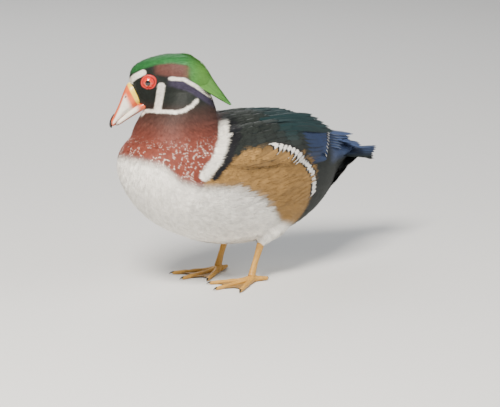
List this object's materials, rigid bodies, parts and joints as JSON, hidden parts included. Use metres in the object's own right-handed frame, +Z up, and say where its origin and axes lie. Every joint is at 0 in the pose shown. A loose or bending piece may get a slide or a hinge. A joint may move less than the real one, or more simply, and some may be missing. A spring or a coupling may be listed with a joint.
{
  "type": "wood duck drake, standing life-size model",
  "caption": "Life-size still model of a crested male wood duck, standing on both webbed feet with its neck drawn in and its head turned to its right.",
  "frame": {"origin": "middle of the model's box, on the floor under the soles", "axes": "+Z up, the bird faces -X, its left side is -Y"},
  "size_m": [0.318, 0.1198, 0.2184],
  "materials": {
    "head_plumage": "glossy green and purple feathers with white lines",
    "neck_plumage": "soft purple-black to chestnut feathers",
    "body_plumage": "chestnut breast flecked with white, tan flanks, white belly and dark back",
    "thigh_plumage": "white down",
    "wing_feathers": "dark feathers with a blue-green gloss",
    "tail_feathers": "dark feathers with a bronze and blue gloss",
    "bill": "smooth horn, red with white sides, yellow line at its base and a black nail",
    "eye": "wet and clear over a red iris and a black pupil",
    "leg_skin": "fine scaly skin, dull orange-yellow, with dark claws"
  },
  "bodies": {
    "root": {"head": "head_plumage", "bill_upper": "bill", "bill_lower": "bill", "eye_left": "eye", "eye_right": "eye", "neck": "neck_plumage", "torso": "body_plumage", "wing_left": "wing_feathers", "wing_right": "wing_feathers", "tail": "tail_feathers", "thigh_left": "thigh_plumage", "thigh_right": "thigh_plumage", "shank_left": "leg_skin", "shank_right": "leg_skin", "foot_left": "leg_skin", "foot_right": "leg_skin"}
  },
  "joints": []
}
